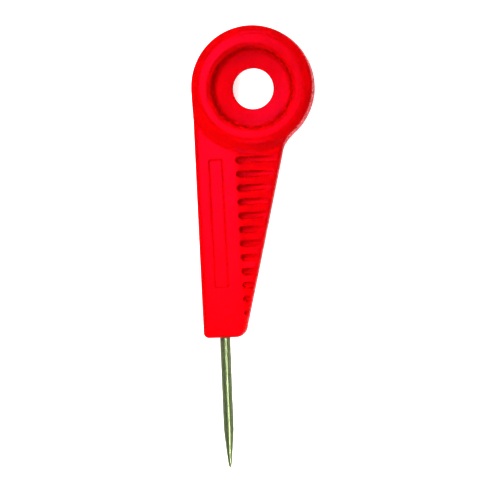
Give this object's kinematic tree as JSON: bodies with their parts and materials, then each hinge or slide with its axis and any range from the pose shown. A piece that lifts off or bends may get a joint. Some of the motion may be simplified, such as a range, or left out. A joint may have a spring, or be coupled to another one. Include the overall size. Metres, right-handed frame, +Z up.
{
  "type": "bookbinding awl",
  "caption": "Pointed awl for piercing paper and board, with a flat flared grip, finger grooves and a dished ring head with a hanging hole.",
  "frame": {"origin": "middle of the outline seen from above, on the surface that the awl lies on", "axes": "+X across the grip towards its flaring edge, +Y from the point towards the ring head, +Z up through the thickness"},
  "size_m": [0.0344, 0.125, 0.0108],
  "materials": {
    "grip_plastic": "satin",
    "blade_steel": "polished"
  },
  "bodies": {
    "root": {"handle": "grip_plastic", "blade": "blade_steel"}
  },
  "joints": []
}
